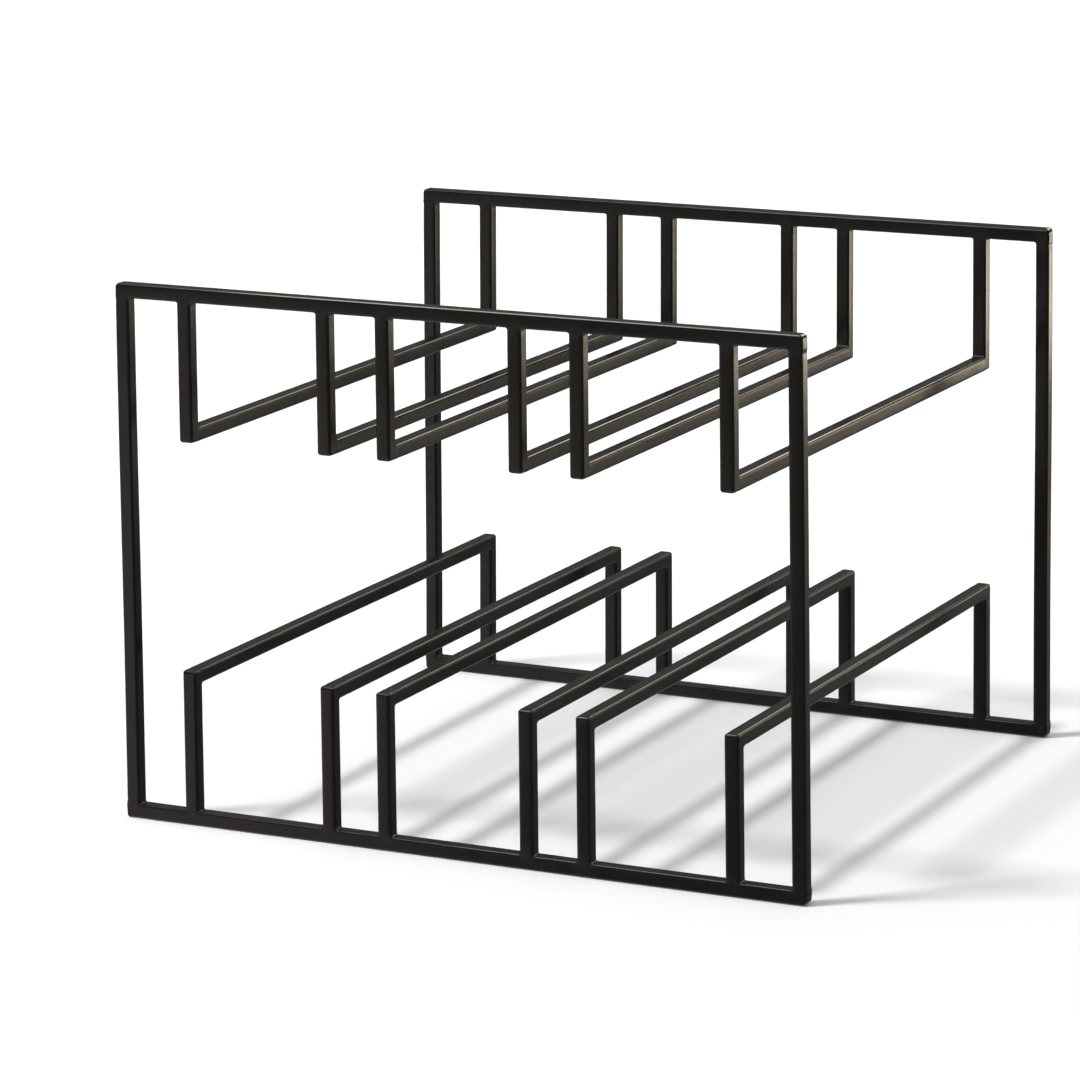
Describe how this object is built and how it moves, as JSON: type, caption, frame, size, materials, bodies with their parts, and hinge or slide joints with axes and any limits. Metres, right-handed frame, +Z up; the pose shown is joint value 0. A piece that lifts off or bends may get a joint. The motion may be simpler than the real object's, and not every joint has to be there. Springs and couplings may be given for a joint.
{
  "type": "wine rack",
  "caption": "Low open wine rack of welded square steel bar: two rectangular frames joined by front-to-back rails that form two rows of bottle cradles.",
  "frame": {"origin": "on the floor, under the middle of the rack", "axes": "+X to the rack's right along its width, -Y to its front where the bottle necks come out, +Z up"},
  "size_m": [0.3, 0.272, 0.222],
  "materials": {
    "black_powder_coat": "satin black powder coat"
  },
  "bodies": {
    "root": {"front_bottom_bar": "black_powder_coat", "front_top_bar": "black_powder_coat", "front_left_post": "black_powder_coat", "front_right_post": "black_powder_coat", "rear_bottom_bar": "black_powder_coat", "rear_top_bar": "black_powder_coat", "rear_left_post": "black_powder_coat", "rear_right_post": "black_powder_coat", "lower_rail_1": "black_powder_coat", "front_leg_1": "black_powder_coat", "rear_leg_1": "black_powder_coat", "lower_rail_2": "black_powder_coat", "front_leg_2": "black_powder_coat", "rear_leg_2": "black_powder_coat", "lower_rail_3": "black_powder_coat", "front_leg_3": "black_powder_coat", "rear_leg_3": "black_powder_coat", "lower_rail_4": "black_powder_coat", "front_leg_4": "black_powder_coat", "rear_leg_4": "black_powder_coat", "lower_rail_5": "black_powder_coat", "front_leg_5": "black_powder_coat", "rear_leg_5": "black_powder_coat", "lower_rail_6": "black_powder_coat", "front_leg_6": "black_powder_coat", "rear_leg_6": "black_powder_coat", "upper_rail_1": "black_powder_coat", "front_hanger_1": "black_powder_coat", "rear_hanger_1": "black_powder_coat", "upper_rail_2": "black_powder_coat", "front_hanger_2": "black_powder_coat", "rear_hanger_2": "black_powder_coat", "upper_rail_3": "black_powder_coat", "front_hanger_3": "black_powder_coat", "rear_hanger_3": "black_powder_coat", "upper_rail_4": "black_powder_coat", "front_hanger_4": "black_powder_coat", "rear_hanger_4": "black_powder_coat", "upper_rail_5": "black_powder_coat", "front_hanger_5": "black_powder_coat", "rear_hanger_5": "black_powder_coat", "upper_rail_6": "black_powder_coat", "front_hanger_6": "black_powder_coat", "rear_hanger_6": "black_powder_coat"}
  },
  "joints": []
}
